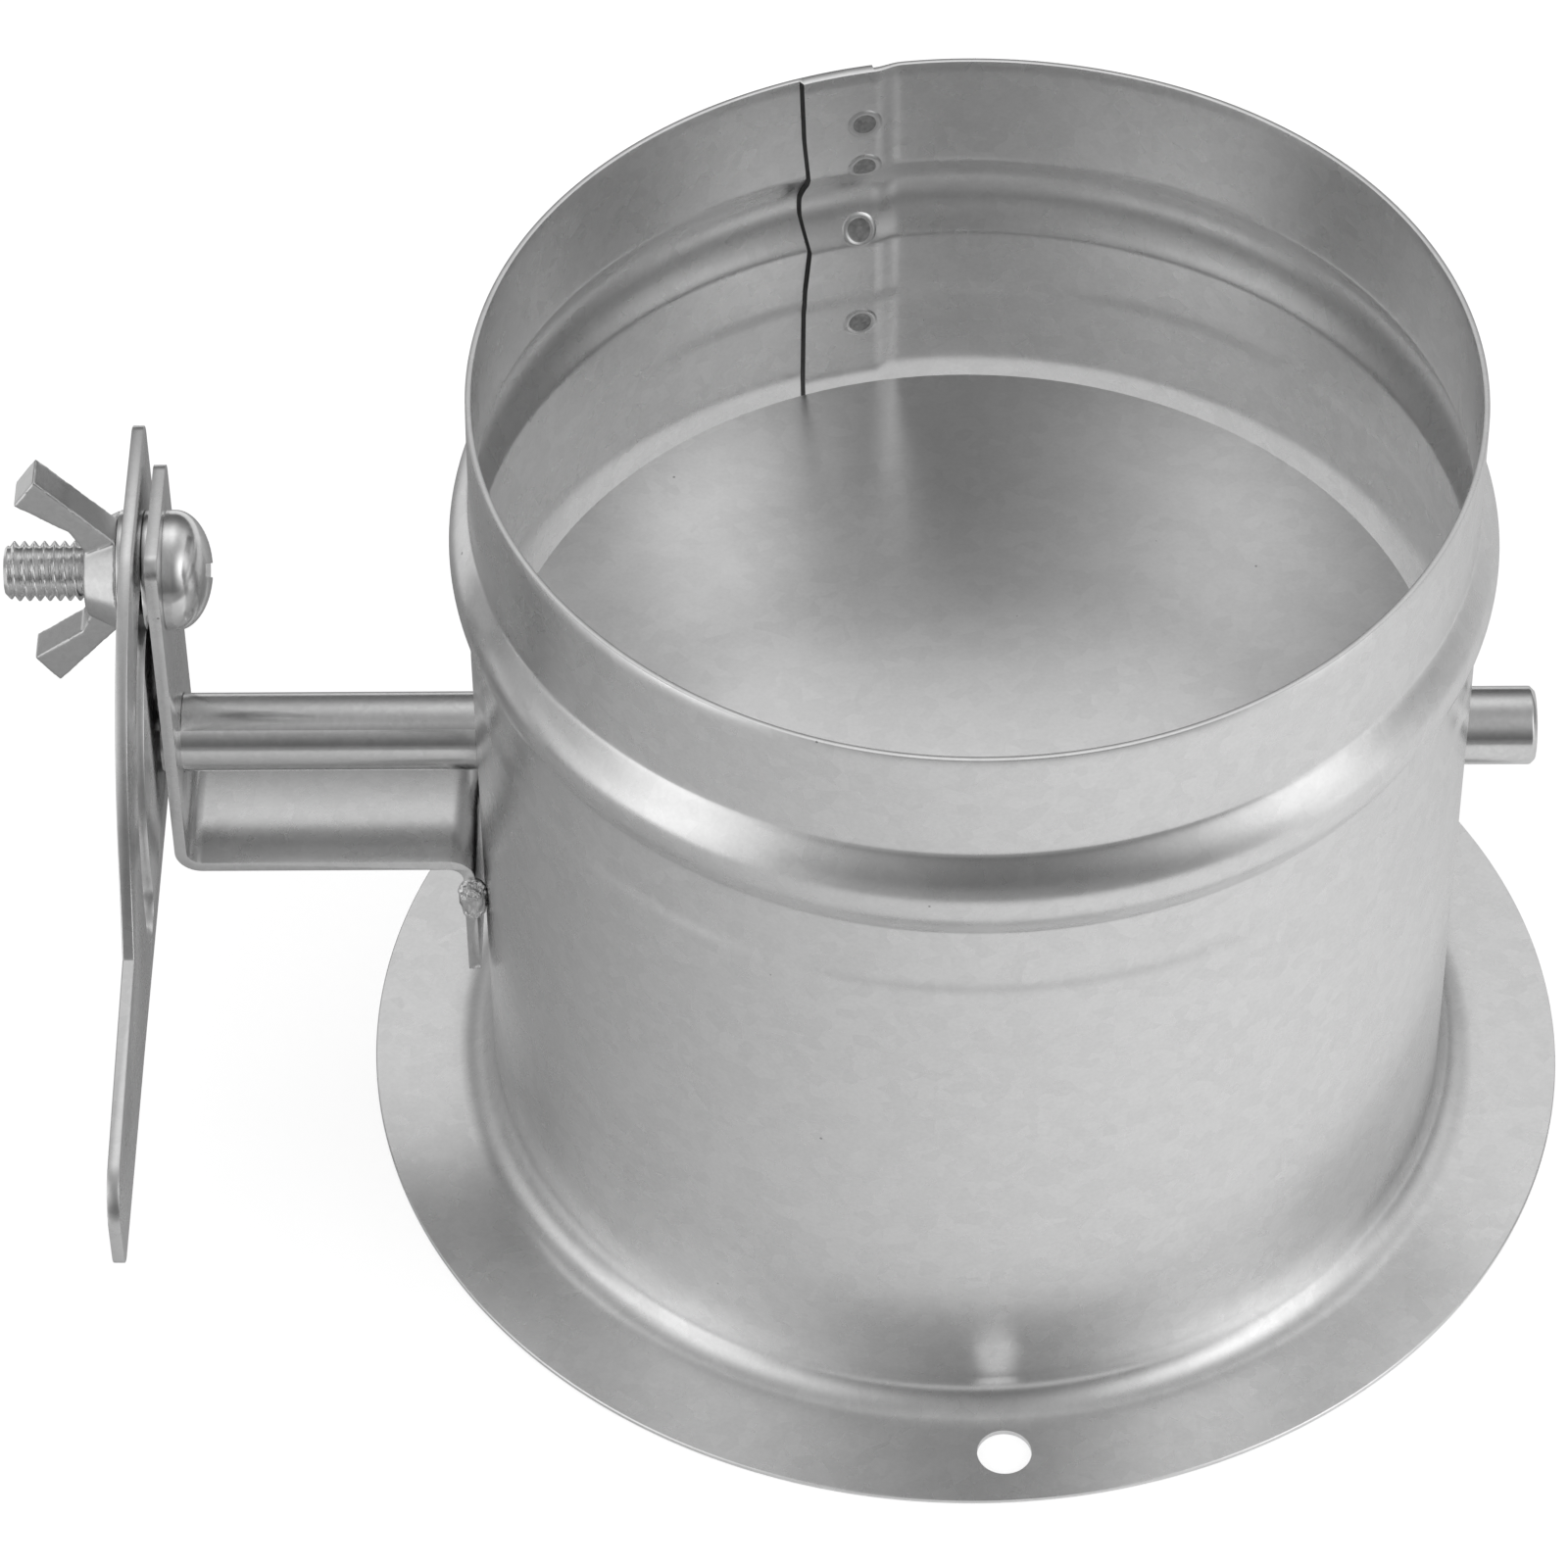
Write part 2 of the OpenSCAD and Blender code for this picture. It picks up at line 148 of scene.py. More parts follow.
# Holes in the collar
ROUND_SIDES = 96
FLANGE_CUT_L = 4 * MM

# Edges of the flat pieces
MERGE_DISTANCE = 2e-6
FLAT_ANGLE = 0.5
SHARP_ANGLE = 30
PLATE_EDGE_R = 0.12 * MM
PART_EDGE_R = 0.1 * MM

# Weld beads on the bracket's foot: lumps by size and share, their height, and how far they sink
STRIP_W = 16 * MM
LUMPS = [(1.1 * MM, 1.0), (0.4 * MM, 0.5)]
LUMP_H = 0.35 * MM
LUMP_SINK = 0.2 * MM

# Softening of the wing nut: size of the mesh's cells, and rounds of smoothing
NUT_GRAIN = 0.14 * MM
NUT_ROUNDS = 14

# Shaft and clamp screw, from the frame. The recess's floor is given as shares of its mouth.
SHAFT_Z = next(j for j in frame["joints"] if j["name"] == "blade_turn")["pos_m"][2]
SHAFT_HOLE_R = 4.1 * MM
screw_lo, screw_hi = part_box("clamp_screw")
SCREW_Z = (screw_lo.z + screw_hi.z) / 2
SCREW_R = 3 * MM
SCREW_L = 16 * MM
SCREW_CHAMFER = 0.7 * MM
PITCH = 1 * MM
THREAD_DEPTH = 0.55 * MM
THREAD_FLANK = 2.4
THREAD_FLOOR = 0.1
THREAD_START = -0.5 * MM
THREAD_ROW_STEP = 0.07 * MM
SCREW_COLUMNS = 72
HEAD_ROWS = 24
HEAD_R = (screw_hi.z - screw_lo.z) / 2
HEAD_H = screw_hi.x - screw_lo.x - SCREW_L
HEAD_RIM_H = 0.9 * MM
RECESS_W = 1.5 * MM
RECESS_L = 6.4 * MM
RECESS_H = 2.4 * MM
RECESS_FLOOR_W = 0.7
RECESS_FLOOR_L = 0.5
RECESS_LEAD = 0.2 * MM
CENTRE_R = 0.01 * MM

mounts = {m["name"]: m for m in frame["record"]["mounts"]}
FLANGE_SCREWS = mounts["flange_screws"]["dims"]
FIRST_HOLE = -87.0

# Zinc coating: sizes of its clouds and of its grain, depth of the grain, and the pits, whose darkening is
# painted shade of small hollows
CLOUD_SIZE = 7 * MM
GRAIN_SIZE = 0.45 * MM
GRAIN_H = 0.03 * MM
GRAIN_STRENGTH = 0.1
PIT_SPACE = 5 * MM
PIT_SIZE = 0.035
PIT_SHADE_TONE = 0.5
CELL_ROUGHNESS = 0.02
CLOUD_ROUGHNESS = 0.06

# Camera, as found from the photograph: distance from the origin, then degrees
SENSOR_W = 36
LENS = 150.07
CAMERA_DISTANCE = 699.59 * MM
CAMERA_ELEVATION = 48.39
CAMERA_AZIMUTH = -1.74
CAMERA_PITCH = 2.17
CAMERA_YAW = -1.62
CAMERA_ROLL = 0.96

# Studio light: direction in degrees from +X, height in degrees, strength and sharpness of each patch
AMBIENT = 0.11
PATCHES = [
    (180, 32, 0.52, 11.5),
    (210, 32, 0.74, 11.5),
    (240, 32, 0.27, 11.5),
    (213, 0, 1.1, 25),
    (338, 0, 1.0, 25),
    (330, 32, 1.34, 11.5),
    (30, 32, 0.54, 11.5),
    (90, 62, 0.94, 11.5),
    (135, 8, 0.31, 11.5),
    (270, 78, 0.21, 11.5),
]

# What reflections see of the floor: inside the duct, and outside it with a brighter side, given as
# direction in degrees and amount, for the ring near the object and for the floor beyond it. Far off
# lies the mirrored half of each patch that stands on the horizon.
FLOOR_R = 3.0
FLOOR_DROP = 0.05 * MM
FLOOR_ROUGHNESS = 0.9
FLOOR_TONE = 0.35
FLOOR_CAMERA_TONE = 0.8
FLOOR_GLOW_INSIDE = 0.59
FLOOR_GLOW = 0.33
NEAR_FLOOR_R = 200 * MM
NEAR_SIDE = (-40, 0.25)
FAR_SIDE = (110, 0.28)
FAR_PATCHES = [(213, 25, 0.8), (338, 25, 0.7)]
CAMERA_GLOW = 0.62


def ease(t):
    t = np.clip(t, 0, 1)
    return (1 - np.cos(np.pi * t)) / 2


def bead_rise(z):
    """Height of the bead: an arch that stands sharply on the wall."""
    half = np.where(z > BEAD_Z, BEAD_ABOVE, BEAD_BELOW)
    rise = BEAD_H * np.cos(np.pi / 2 * np.minimum(np.abs(z - BEAD_Z) / half, 1.5))
    return (rise + np.hypot(rise, BEAD_FOOT_ROUNDING)) / 2


def wall_radius(z):
    """Outer radius of the wall at height z."""
    return (
        WALL_R
        - SHOULDER_STEP * ease((z - SHOULDER_TOP + SHOULDER_H) / SHOULDER_H)
        - SPIGOT_STEP * ease((z - BEAD_Z + BEAD_BELOW) / (BEAD_ABOVE + BEAD_BELOW))
        + bead_rise(z)
    )


def sum_waves(waves, angle):
    return sum(height * np.cos(lobes * angle + phase) for height, lobes, phase in waves)


def out_of_round(angle, z):
    """How far rolled sheet lies outside the true circle: a faint wave in the wall, more at the rim."""
    wall_share = ease((z - WALL_WAVE_FOOT) / (WALL_WAVE_TOP - WALL_WAVE_FOOT))
    rim_share = np.clip((z - BEAD_Z) / (RIM_Z - BEAD_Z), 0, 1) ** 2
    return sum_waves(WALL_WAVES, angle) * wall_share + sum_waves(RIM_WAVES, angle) * rim_share


def new_object(name, mesh, body, replaces=()):
    piece = bpy.data.objects.new(name, mesh)
    bpy.context.scene.collection.objects.link(piece)
    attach(piece, body)
    if replaces:
        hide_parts(*replaces)
    return piece


def smooth(mesh, angle=SHARP_ANGLE):
    """Smooth shading, with edges sharper than the angle kept sharp."""
    mesh.shade_smooth()
    mesh.set_sharp_from_angle(angle=math.radians(angle))


def grid_mesh(name, points, wrap_u, wrap_v):
    """Mesh over a grid of points, shaped columns by rows by 3."""
    columns, rows = points.shape[:2]
    u = np.arange(columns if wrap_u else columns - 1)
    v = np.arange(rows if wrap_v else rows - 1)
    uu, vv = np.meshgrid(u, v, indexing="ij")
    u2 = (uu + 1) % columns
    v2 = (vv + 1) % rows
    quads = np.stack([uu * rows + vv, u2 * rows + vv, u2 * rows + v2, uu * rows + v2], axis=-1)
    mesh = bpy.data.meshes.new(name)
    mesh.from_pydata(points.reshape(-1, 3).tolist(), [], quads.reshape(-1, 4).tolist())
    return mesh


def close_ends(mesh):
    """Fills the open ends of a tube."""
    bm = bmesh.new()
    bm.from_mesh(mesh)
    bmesh.ops.holes_fill(bm, edges=[e for e in bm.edges if e.is_boundary])
    bmesh.ops.recalc_face_normals(bm, faces=bm.faces)
    bm.to_mesh(mesh)
    bm.free()


def spread(a, b, step):
    """Values from a to b, both included, about step apart."""
    return np.linspace(a, b, max(2, int(round(abs(b - a) / step)) + 1))


def arc(centre, radius, a, b, n):
    """Points on an arc from a to b degrees, in n steps."""
    t = np.radians(np.linspace(a, b, n + 1))
    return np.stack([centre[0] + radius * np.cos(t), centre[1] + radius * np.sin(t)], axis=1)


def collar_columns():
    """Angles of the collar's columns, closer together over the lap seam."""
    fine_from, fine_to = SEAM_COLUMNS
    coarse = spread(fine_to, 360 + fine_from, COLUMN_STEP)
    fine = spread(fine_from, fine_to, SEAM_COLUMN_STEP)[1:-1] + 360
    outer_edge = [360 + LAP_START - OUTER_CUT, 360 + LAP_START + OUTER_CUT]
    inner_edge = [360 + LAP_END - INNER_CUT, 360 + LAP_END + INNER_CUT]
    clear = fine[np.abs(fine - 360 - LAP_END) > 1.3 * INNER_CUT]
    return np.sort(np.concatenate([coarse, clear, outer_edge, inner_edge]))


def collar_section():
    """Closed section of the sheet as radius, height and side: 1 outside, -1 inside, 0 elsewhere."""
    e = EDGE_R
    bend_centre = (WALL_R + BEND_R, SHEET_T + BEND_R)
    bead_foot = BEAD_Z - BEAD_BELOW - BEAD_MARGIN
    bead_top = BEAD_Z + BEAD_ABOVE + BEAD_MARGIN
    heights = np.concatenate([
        spread(bend_centre[1], SHOULDER_TOP - SHOULDER_H, PLAIN_ROW_STEP)[1:],
        spread(SHOULDER_TOP - SHOULDER_H, SHOULDER_TOP, SHOULDER_ROW_STEP)[1:],
        spread(SHOULDER_TOP, bead_foot, ROW_STEP)[1:],
        spread(bead_foot, bead_top, BEAD_ROW_STEP)[1:],
        spread(bead_top, RIM_Z - e, ROW_STEP)[1:],
    ])
    edge = [(FLANGE_R - e, 0), (FLANGE_R, e), (FLANGE_R, SHEET_T - e), (FLANGE_R - e, SHEET_T)]
    flange = [(r, SHEET_T) for r in spread(FLANGE_R - e, bend_centre[0], ROW_STEP)[1:-1]]
    rows = [(r, z, 0) for r, z in edge + flange]
    rows += [(r, z, 0) for r, z in arc(bend_centre, BEND_R, 270, 180, OUTER_BEND_ROWS)]
    rows += [(wall_radius(z), z, 1) for z in heights]
    rim = wall_radius(RIM_Z)
    rows += [(rim - 0.3 * e, RIM_Z - 0.3 * e, 1), (rim - e, RIM_Z, 1)]
    rows += [(rim - SHEET_T + e, RIM_Z, -1), (rim - SHEET_T + 0.3 * e, RIM_Z - 0.3 * e, -1)]
    rows += [(wall_radius(z) - SHEET_T, z, -1) for z in heights[::-1]]
    rows += [(r, z, 0) for r, z in arc(bend_centre, BEND_R + SHEET_T, 180, 270, INNER_BEND_ROWS)]
    rows += [(r, 0, 0) for r in spread(bend_centre[0], FLANGE_R - e, PLAIN_ROW_STEP)[1:-1]]
    return np.array(rows)


def lap_rise(turn, z):
    """How far the inner layer stands in from the wall at a direction in degrees."""
    rise = ease((turn - LAP_START + LAP_EASE) / LAP_EASE) * ease((z - LAP_FOOT) / LAP_FOOT_EASE)
    return SHEET_T * np.where(turn < LAP_END, rise, 0)


def collar_points():
    """Points of the collar's grid, with the seam and the sheet's unevenness."""
    angles = collar_columns()
    radius, height, side = collar_section().T
    a = angles[:, None] + 0 * radius[None, :]
    r = radius[None, :] + 0 * a
    z = height[None, :] + 0 * a
    inside = (side == -1)[None, :]
    outside = (side == 1)[None, :]
    turn = np.where(a > 360, a - 360, a)
    rise = lap_rise(turn, z)
    r = r - np.where(inside, rise, 0)

    # On the outside the outer layer's end stands over the valley where the inner layer steps in
    r = r - np.where(outside & (turn < LAP_START), LAP_VALLEY * rise, 0)

    wander = np.interp(z, *zip(*SEAM_WANDER))
    shift = wander * np.exp(-((turn - LAP_END) / SEAM_FADE) ** 2)
    turned = np.radians(a + np.where(inside, shift, 0))
    r = r + out_of_round(turned, z)
    return np.stack([r * np.cos(turned), r * np.sin(turned), z], axis=-1)


def seam_faces(points):
    """Whether each quad of the collar's grid lies on the cut end of the sheet's inner layer, whose
    near-black tone is painted shade.
    """
    angles = collar_columns()
    side = collar_section()[:, 2]
    height = collar_section()[:, 1]
    at_end = np.abs(angles - 360 - LAP_END + INNER_CUT) < 1e-6
    inside = (side == -1) & (height > LAP_FOOT)
    return (at_end[:, None] & inside[None, :]).ravel()


def cylinder(name, radius, length, centre, axis):
    bm = bmesh.new()
    bmesh.ops.create_cone(
        bm, cap_ends=True, segments=ROUND_SIDES, radius1=radius, radius2=radius, depth=length,
    )
    mesh = bpy.data.meshes.new(name)
    bm.to_mesh(mesh)
    bm.free()
    turn = Vector((0, 0, 1)).rotation_difference(Vector(axis)).to_matrix().to_4x4()
    mesh.transform(Matrix.Translation(centre) @ turn)
    return mesh


def apply_modifiers(piece):
    depsgraph = bpy.context.evaluated_depsgraph_get()
    result = bpy.data.meshes.new_from_object(piece.evaluated_get(depsgraph))
    piece.modifiers.clear()
    piece.data = result


def cut(piece, cutters):
    """Cuts meshes out of a piece."""
    scene = bpy.context.scene
    for mesh in cutters:
        tool = bpy.data.objects.new("cutter", mesh)
        scene.collection.objects.link(tool)
        modifier = piece.modifiers.new("cut", "BOOLEAN")
        modifier.operation = "DIFFERENCE"
        modifier.solver = "EXACT"
        modifier.object = tool
    apply_modifiers(piece)
    for tool in [o for o in scene.objects if o.name.startswith("cutter")]:
        bpy.data.objects.remove(tool)


def make_collar(sheet, cut_edge_painted_shade):
    """The collar from one sheet, with its shaft holes and flange holes, and painted shade on the cut end
    of its inner layer.
    """
    points = collar_points()
    mesh = grid_mesh("collar_sheet", points, True, True)
    mesh.materials.append(sheet)
    mesh.materials.append(cut_edge_painted_shade)
    # The cut end of the inner layer gets a near-black tone: painted shade of the narrow crevice at the
    # sheet's lapped end.
    mesh.polygons.foreach_set("material_index", seam_faces(points).astype(np.int32))
    piece = new_object("collar_sheet", mesh, "collar_body", ["collar"])
    cutters = [cylinder("shaft_hole", SHAFT_HOLE_R, 2.2 * WALL_R, (0, 0, SHAFT_Z), (1, 0, 0))]
    circle = FLANGE_SCREWS["pcd_mm"] / 2 * MM
    for i in range(FLANGE_SCREWS["count"]):
        t = math.radians(FIRST_HOLE + 360 * i / FLANGE_SCREWS["count"])
        centre = (circle * math.cos(t), circle * math.sin(t), 0)
        cutters.append(cylinder("hole", FLANGE_SCREWS["hole_r_mm"] * MM, FLANGE_CUT_L, centre, (0, 0, 1)))
    cut(piece, cutters)
    smooth(piece.data, angle=35)


def spot_mesh(height, direction):
    """A round mark pressed by a spot welder: a flat floor inside a low ring."""
    steps, lift = np.array(SPOT_SECTION).T
    turn = np.linspace(0, 2 * np.pi, SPOT_COLUMNS, endpoint=False)
    across = SPOT_R * np.outer(np.cos(turn), steps)
    z = height + SPOT_R * np.outer(np.sin(turn), steps)
    inner = wall_radius(z) - SHEET_T - lap_rise(direction, z)
    angle = math.radians(direction) + across / inner
    r = inner + out_of_round(angle, z) - lift[None, :]
    return grid_mesh("spot", np.stack([r * np.cos(angle), r * np.sin(angle), z], axis=-1), True, False)


def make_spots(floor, ring):
    """All the spot weld marks in one piece, each with a darker floor."""
    bm = bmesh.new()
    for height, direction in SPOTS:
        mesh = spot_mesh(height, direction)
        rows = len(SPOT_SECTION) - 1
        for i, face in enumerate(mesh.polygons):
            face.material_index = 0 if i % rows < SPOT_FLOOR_STEPS else 1
        bm.from_mesh(mesh)
    centre_edge = SPOT_SECTION[1][0] * SPOT_R / SPOT_COLUMNS
    centres = [e for e in bm.edges if e.is_boundary and e.calc_length() < centre_edge]
    bmesh.ops.holes_fill(bm, edges=centres)
    mesh = bpy.data.meshes.new("spot_welds")
    bm.to_mesh(mesh)
    bm.free()
    smooth(mesh, angle=60)
    mesh.materials.append(floor)
    mesh.materials.append(ring)
    new_object("spot_welds", mesh, "collar_body")


def softened(node, body, width, segments=2):
    """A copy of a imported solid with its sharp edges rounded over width."""
    mesh = frame["nodes"][node].data.copy()
    bm = bmesh.new()
    bm.from_mesh(mesh)
    bmesh.ops.remove_doubles(bm, verts=bm.verts, dist=MERGE_DISTANCE)
    flat = math.radians(FLAT_ANGLE)
    bmesh.ops.dissolve_limit(bm, angle_limit=flat, verts=bm.verts, edges=bm.edges)
    sharp = math.radians(SHARP_ANGLE)
    edges = [e for e in bm.edges if len(e.link_faces) == 2 and e.calc_face_angle() > sharp]
    bmesh.ops.bevel(
        bm, geom=edges, offset=width, segments=segments, profile=0.5, affect="EDGES", clamp_overlap=True,
    )
    bm.to_mesh(mesh)
    bm.free()
    smooth(mesh)
    return new_object(node + "_piece", mesh, body, [node])


def roughen_welds(mesh):
    """Makes the weld beads on the edges of the bracket's foot lumpy."""
    edge = STRIP_W / 2 + 0.02 * MM
    bm = bmesh.new()
    bm.from_mesh(mesh)
    bead = [e for e in bm.edges if min(abs(v.co.y) for v in e.verts) > edge]
    bmesh.ops.subdivide_edges(bm, edges=bead, cuts=3, use_grid_fill=True)
    bm.normal_update()
    for vert in [v for v in bm.verts if abs(v.co.y) > edge]:
        lump = sum(share * noise.noise(vert.co / size) for size, share in LUMPS)
        vert.co += vert.normal * (lump * LUMP_H - LUMP_SINK)
    bm.to_mesh(mesh)
    bm.free()
    smooth(mesh, angle=50)


def cast(node, body, grain, rounds):
    """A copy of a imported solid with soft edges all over, as a casting has."""
    mesh = frame["nodes"][node].data.copy()
    piece = new_object(node + "_piece", mesh, body, [node])
    remesh = piece.modifiers.new("remesh", "REMESH")
    remesh.mode = "VOXEL"
    remesh.voxel_size = grain
    relax = piece.modifiers.new("relax", "SMOOTH")
    relax.factor = 0.5
    relax.iterations = rounds
    apply_modifiers(piece)
    piece.data.shade_smooth()
    return piece


def screw_matrix():
    """From a frame with its origin under the head and +Z along the screw to the part's frame."""
    seat_x = screw_lo.x + SCREW_L
    return Matrix(((0, 0, -1, seat_x), (0, 1, 0, 0), (1, 0, 0, SCREW_Z), (0, 0, 0, 1)))


def thread_mesh():
    """Threaded shank, from inside the head to its chamfered end."""
    turn = np.linspace(0, 2 * np.pi, SCREW_COLUMNS, endpoint=False)
    z = spread(THREAD_START, SCREW_L, THREAD_ROW_STEP)
    tt, zz = np.meshgrid(turn, z, indexing="ij")
    phase = (zz / PITCH - tt / (2 * np.pi)) % 1.0
    groove = 1 - np.clip(np.abs(phase - 0.5) * THREAD_FLANK - THREAD_FLOOR, 0, 1)
    taper = SCREW_CHAMFER - np.minimum(SCREW_L - zz, SCREW_CHAMFER)
    r = np.minimum(SCREW_R - THREAD_DEPTH * groove, SCREW_R - taper)
    mesh = grid_mesh("thread", np.stack([r * np.cos(tt), r * np.sin(tt), zz], axis=-1), True, False)
    close_ends(mesh)
    return mesh


def head_mesh():
    """Pan head: a low rim under an elliptic dome."""
    t = np.radians(np.linspace(0, 89.8, HEAD_ROWS))
    dome = HEAD_H - HEAD_RIM_H
    profile = [(CENTRE_R, 0), (HEAD_R - EDGE_R, 0), (HEAD_R, -EDGE_R)]
    profile += list(zip(HEAD_R * np.cos(t), -HEAD_RIM_H - dome * np.sin(t)))
    r, z = np.array(profile).T
    turn = np.linspace(0, 2 * np.pi, SCREW_COLUMNS, endpoint=False)[:, None]
    points = np.stack([r * np.cos(turn), r * np.sin(turn), z + 0 * turn], axis=-1)
    mesh = grid_mesh("head", points, True, False)
    close_ends(mesh)
    return mesh


def recess_mesh(direction):
    """One arm of the cross recess, narrowing towards its floor."""
    bm = bmesh.new()
    bmesh.ops.create_cube(bm, size=1)
    for vert in bm.verts:
        deep = vert.co.z > 0
        vert.co.x *= RECESS_L * (RECESS_FLOOR_L if deep else 1.0)
        vert.co.y *= RECESS_W * (RECESS_FLOOR_W if deep else 1.0)
        vert.co.z = RECESS_H - HEAD_H if deep else -HEAD_H - RECESS_LEAD
    mesh = bpy.data.meshes.new("recess")
    bm.to_mesh(mesh)
    bm.free()
    mesh.transform(screw_matrix() @ Matrix.Rotation(math.radians(direction), 4, "Z"))
    return mesh


def make_screw(material):
    """Pan head with its cross recess, on a threaded shank."""
    head = head_mesh()
    head.transform(screw_matrix())
    piece = new_object("clamp_screw_piece", head, "collar_body", ["clamp_screw"])
    cut(piece, [recess_mesh(45), recess_mesh(135)])
    thread = thread_mesh()
    thread.transform(screw_matrix())
    bm = bmesh.new()
    bm.from_mesh(piece.data)
    bm.from_mesh(thread)
    bm.to_mesh(piece.data)
    bm.free()
    smooth(piece.data, angle=40)
    dress(piece, material)


def wire(tree, value, socket):
    """Links a socket to an input, or sets the input to a plain value."""
    if isinstance(value, bpy.types.NodeSocket):
        tree.links.new(value, socket)
    else:
        socket.default_value = value


def maths(tree, operation, *values):
    """One sum of sockets and plain values."""
    node = tree.nodes.new("ShaderNodeMath")
    node.operation = operation
    for i, value in enumerate(values):
        wire(tree, value, node.inputs[i])
    return node.outputs[0]


def texture(tree, kind, place, size, detail=None):
    """A noise or cell texture whose features are about size long."""
    node = tree.nodes.new("ShaderNodeTex" + kind)
    wire(tree, place, node.inputs["Vector"])
    node.inputs["Scale"].default_value = 1 / size
    if detail is not None:
        node.inputs["Detail"].default_value = detail
    return node


def around_zero(tree, value, amount):
    """A value from 0 to 1, moved and scaled to lie amount / 2 on both sides of 0."""
    return maths(tree, "MULTIPLY_ADD", value, amount, -amount / 2)


def coating_shade(tree, place, cells, cloud, fine, mottle):
    """Brightness of the coating: spangle cells, clouds and grain, and small scattered pits darkened with
    painted shade.
    """
    pits = texture(tree, "Voronoi", place, PIT_SPACE)
    pit_kind = tree.nodes.new("ShaderNodeSeparateColor")
    wire(tree, pits.outputs["Color"], pit_kind.inputs["Color"])
    pit_size = maths(tree, "MULTIPLY", maths(tree, "POWER", pit_kind.outputs["Red"], 3), PIT_SIZE)
    clear = maths(tree, "GREATER_THAN", pits.outputs["Distance"], pit_size)
    shade = maths(tree, "ADD", around_zero(tree, cells.outputs["Red"], mottle), 1.0)
    shade = maths(tree, "ADD", around_zero(tree, cloud, mottle), shade)
    shade = maths(tree, "ADD", around_zero(tree, fine, 2 * mottle), shade)
    # Inside each pit the colour is darkened: painted shade of the small hollow.
    pit_painted_shade = maths(tree, "MULTIPLY_ADD", clear, 1 - PIT_SHADE_TONE, PIT_SHADE_TONE)
    return maths(tree, "MULTIPLY", pit_painted_shade, shade)


def steel(name, tone, rough, cell, mottle=0.06):
    """Zinc-coated steel of a grey tone, with spangle cells of a given size."""
    material = bpy.data.materials.new(name)
    material.use_nodes = True
    tree = material.node_tree
    shader = tree.nodes["Principled BSDF"]
    shader.inputs["Metallic"].default_value = 1.0
    place = tree.nodes.new("ShaderNodeTexCoord").outputs["Object"]
    cells = tree.nodes.new("ShaderNodeSeparateColor")
    wire(tree, texture(tree, "Voronoi", place, cell).outputs["Color"], cells.inputs["Color"])
    cloud = texture(tree, "Noise", place, CLOUD_SIZE, 4).outputs["Fac"]
    fine = texture(tree, "Noise", place, GRAIN_SIZE, 2).outputs["Fac"]

    colour = tree.nodes.new("ShaderNodeHueSaturation")
    colour.inputs["Color"].default_value = (tone, tone, tone, 1)
    wire(tree, coating_shade(tree, place, cells, cloud, fine, mottle), colour.inputs["Value"])
    wire(tree, colour.outputs["Color"], shader.inputs["Base Color"])

    roughness = maths(tree, "ADD", around_zero(tree, cells.outputs["Green"], CELL_ROUGHNESS), rough)
    roughness = maths(tree, "ADD", around_zero(tree, cloud, CLOUD_ROUGHNESS), roughness)
    wire(tree, roughness, shader.inputs["Roughness"])

    relief = tree.nodes.new("ShaderNodeBump")
    relief.inputs["Strength"].default_value = GRAIN_STRENGTH
    relief.inputs["Distance"].default_value = GRAIN_H
    wire(tree, fine, relief.inputs["Height"])
    wire(tree, relief.outputs["Normal"], shader.inputs["Normal"])
    return material


def dress(piece, material):
    """Gives a whole piece one material."""
    piece.data.materials.clear()
    piece.data.materials.append(material)
    for polygon in piece.data.polygons:
        polygon.material_index = 0


def turned(first, second, degrees):
    """Two directions at right angles, turned in their plane from the first towards the second."""
    c, d = math.cos(math.radians(degrees)), math.sin(math.radians(degrees))
    return first * c + second * d, second * c - first * d


def make_camera():
    """The photograph's camera: it looks down at 48 degrees and leans by about one."""
    data = bpy.data.cameras.new("camera")
    data.sensor_width = SENSOR_W
    data.lens = LENS
    camera = bpy.data.objects.new("camera", data)
    bpy.context.scene.collection.objects.link(camera)
    elevation, azimuth = math.radians(CAMERA_ELEVATION), math.radians(CAMERA_AZIMUTH)
    level = math.cos(elevation)
    back = Vector((math.sin(azimuth) * level, -math.cos(azimuth) * level, math.sin(elevation)))
    place = back * CAMERA_DISTANCE
    ahead = -back
    right = ahead.cross(Vector((0, 0, 1))).normalized()
    up = right.cross(ahead)
    ahead, up = turned(ahead, up, CAMERA_PITCH)
    ahead, right = turned(ahead, right, CAMERA_YAW)
    right, up = turned(right, up, CAMERA_ROLL)
    camera.matrix_world = Matrix((
        (right.x, up.x, -ahead.x, place.x),
        (right.y, up.y, -ahead.y, place.y),
        (right.z, up.z, -ahead.z, place.z),
        (0, 0, 0, 1),
    ))
    bpy.context.scene.camera = camera


def brighter_side(tree, place, radius, side):
    """Glow added on one side of the floor and taken away on the other."""
    angle, amount = math.radians(side[0]), side[1]
    across = maths(tree, "MULTIPLY", place.outputs["X"], amount * math.cos(angle))
    along = maths(tree, "MULTIPLY_ADD", place.outputs["Y"], amount * math.sin(angle), across)
    return maths(tree, "DIVIDE", along, radius)


def far_patch(tree, place, radius, direction, sharpness, amount):
    """Glow of the floor in one direction."""
    towards = brighter_side(tree, place, radius, (direction, 1))
    fall = maths(tree, "EXPONENT", maths(tree, "MULTIPLY_ADD", towards, sharpness, -sharpness))
    return maths(tree, "MULTIPLY", fall, amount)


